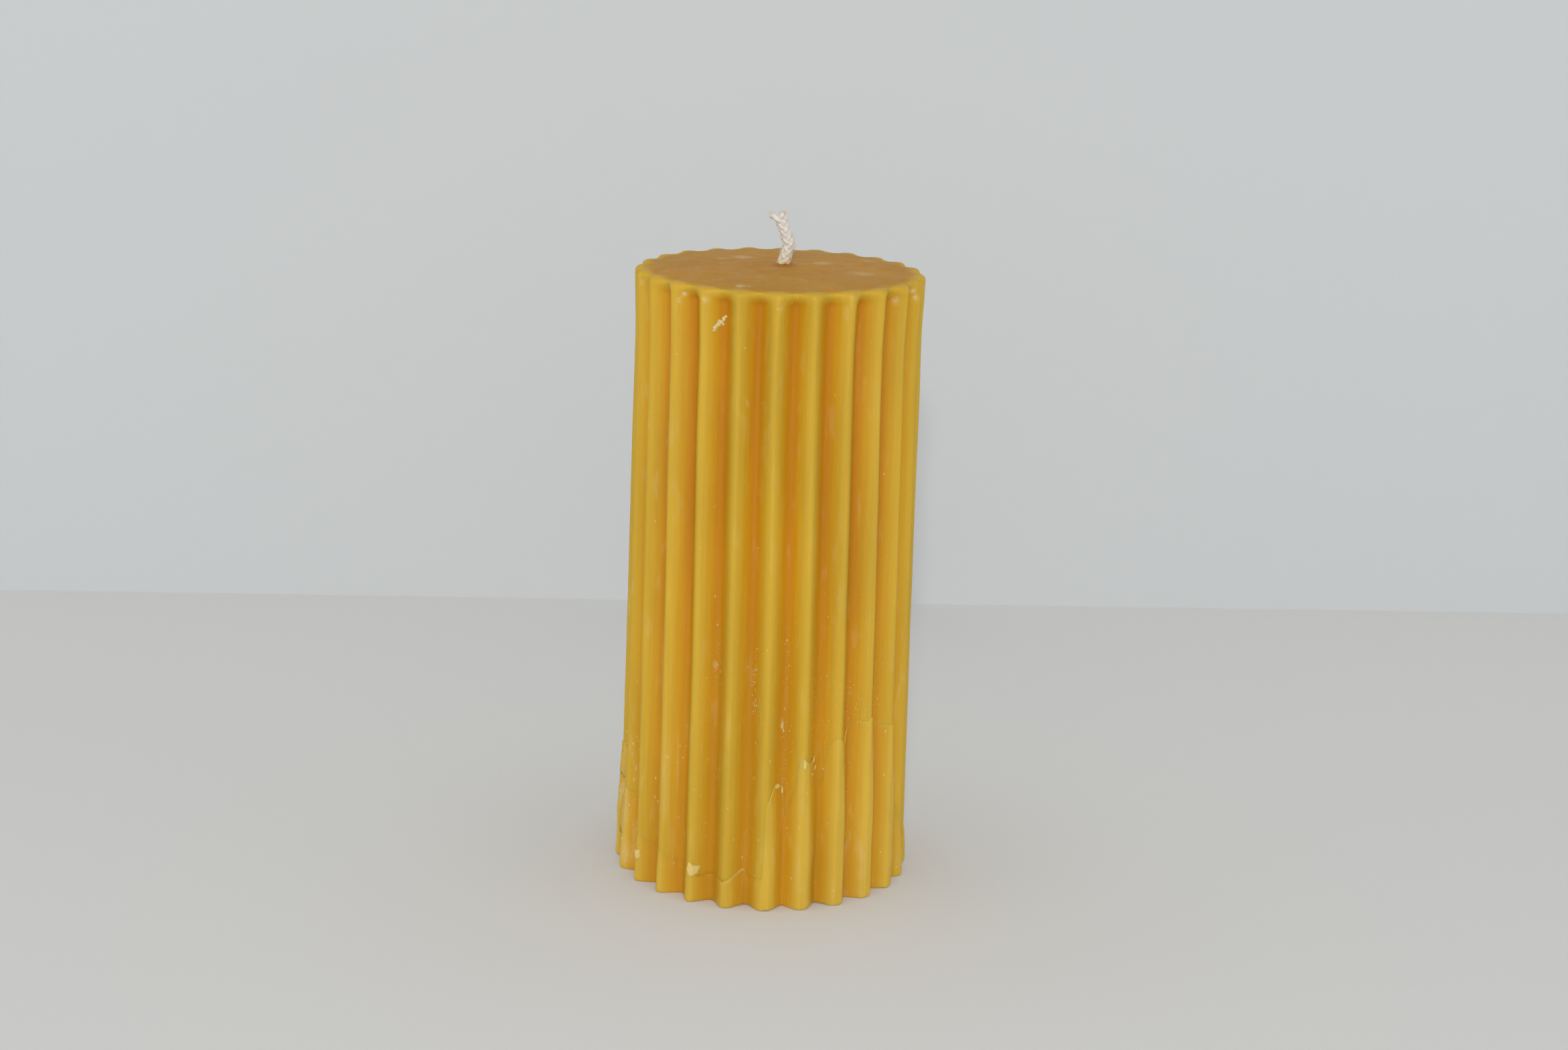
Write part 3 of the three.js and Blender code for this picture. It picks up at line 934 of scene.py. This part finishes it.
def cotton_material(name):
    """White cotton, yellow and glossy at its root, where wax has soaked in."""
    material = new_material(name)
    tree = material.node_tree
    place = add_node(tree, "ShaderNodeTexCoord").outputs["Object"]
    height = add_node(tree, "ShaderNodeSeparateXYZ", Vector=place).outputs[2]

    def clouds(width, length, detail=2):
        return add_pattern(tree, clouds_group, place, width, length, Detail=detail)

    soaked = ease_between(tree, height, wick_exit + 1.2 * mm, wick_exit + 5 * mm, 1, 0)
    root = ease_between(tree, height, wick_exit - 0.2 * mm, wick_exit + 1.4 * mm, 1, 0)
    colour = mix_colours(tree, clouds(0.5, 0.7, 3), srgb(240, 235, 222), srgb(250, 247, 240))
    colour = mix_colours(tree, maths(tree, "MULTIPLY", soaked, 0.7), colour, srgb(238, 226, 188))
    colour = mix_colours(tree, maths(tree, "MULTIPLY", root, 0.75), colour, srgb(222, 200, 120))
    rough = maths(tree, "MULTIPLY_ADD", soaked, -0.3, 0.9)
    relief = maths(tree, "ADD", clouds(0.1, 0.22), clouds(0.25, 0.3))
    bump = add_node(tree, "ShaderNodeBump", Distance=0.06 * mm, Height=relief).outputs[0]
    shader = add_node(
        tree, "ShaderNodeBsdfPrincipled", {"subsurface_method": "RANDOM_WALK"},
        Base_Color=colour, Roughness=rough, Normal=bump, Sheen_Weight=0.15,
        Subsurface_Weight=0.35, Subsurface_Scale=0.4 * mm, Subsurface_Radius=(1, 0.95, 0.85),
    )
    add_node(tree, "ShaderNodeOutputMaterial", Surface=shader.outputs[0])
    return material


centre_line = wick_line()
strands = [strand_points(centre_line, number) for number in range(strand_count)]
full_strands = [[(place, 1) for place in strand] for strand in strands]
yarns = [
    add_yarn("strands", full_strands, strand_radius, 3),
    add_yarn("hairs", fuzz(centre_line, strands), hair_radius, 0),
]
bpy.ops.object.select_all(action="DESELECT")
for yarn in yarns:
    yarn.select_set(True)
bpy.context.view_layer.objects.active = yarns[0]
bpy.ops.object.convert(target="MESH")
bpy.ops.object.join()
bpy.ops.object.shade_smooth()
wick = bpy.context.object
wick.name = wick.data.name = "wick_braid"
finish_piece(wick, cotton_material("cotton"), "wick_cotton", "wick")

# Studio. A plain pale table and wall in the tones of the photo, which are clear from behind, a lamp
# behind and above the camera and even light from all round.
sheet_size = 4
sheet_roughness = 0.9
wall_distance = 220 * mm
wall_turn = math.radians(3.7)
lamp_place = (-0.06, -2.2, 0.9)
lamp_size = 0.18
lamp_power = 22
world_strength = 0.62


def plain_material(name, colour):
    """Plain paint on the face of a sheet. From behind the sheet can't be seen."""
    material = new_material(name)
    tree = material.node_tree
    coat = add_node(
        tree, "ShaderNodeBsdfPrincipled",
        Base_Color=colour, Roughness=sheet_roughness, Specular_IOR_Level=0,
    )
    clear = add_node(tree, "ShaderNodeBsdfTransparent")
    behind = add_node(tree, "ShaderNodeNewGeometry").outputs["Backfacing"]
    shader = add_node(
        tree, "ShaderNodeMixShader", in0=behind, in1=coat.outputs[0], in2=clear.outputs[0],
    )
    add_node(tree, "ShaderNodeOutputMaterial", Surface=shader.outputs[0])
    return material


def add_stage(name, colour, place, tilt, turn=0):
    bpy.ops.mesh.primitive_plane_add(size=sheet_size, location=place, rotation=(tilt, 0, turn))
    plane = bpy.context.object
    plane.name = name
    plane.data.materials.append(plain_material(name, colour))


add_stage("table", srgb(225, 225, 223), (0, 0, 0), 0)
add_stage("wall", srgb(208, 211, 212), (0, wall_distance, 0), math.pi / 2, wall_turn)

bpy.ops.object.light_add(type="AREA", location=lamp_place)
lamp = bpy.context.object
lamp.name = "soft_lamp"
lamp.data.shape = "DISK"
lamp.data.size = lamp_size
lamp.data.energy = lamp_power
aim = Vector((0, 0, aim_height)) - lamp.location
lamp.rotation_euler = aim.to_track_quat("-Z", "Y").to_euler()

world = bpy.data.worlds.new("even_light")
bpy.context.scene.world = world
world.use_nodes = True
background = world.node_tree.nodes["Background"].inputs
background["Color"].default_value = (1, 1, 1, 1)
background["Strength"].default_value = world_strength
bpy.context.scene.view_settings.view_transform = "Standard"
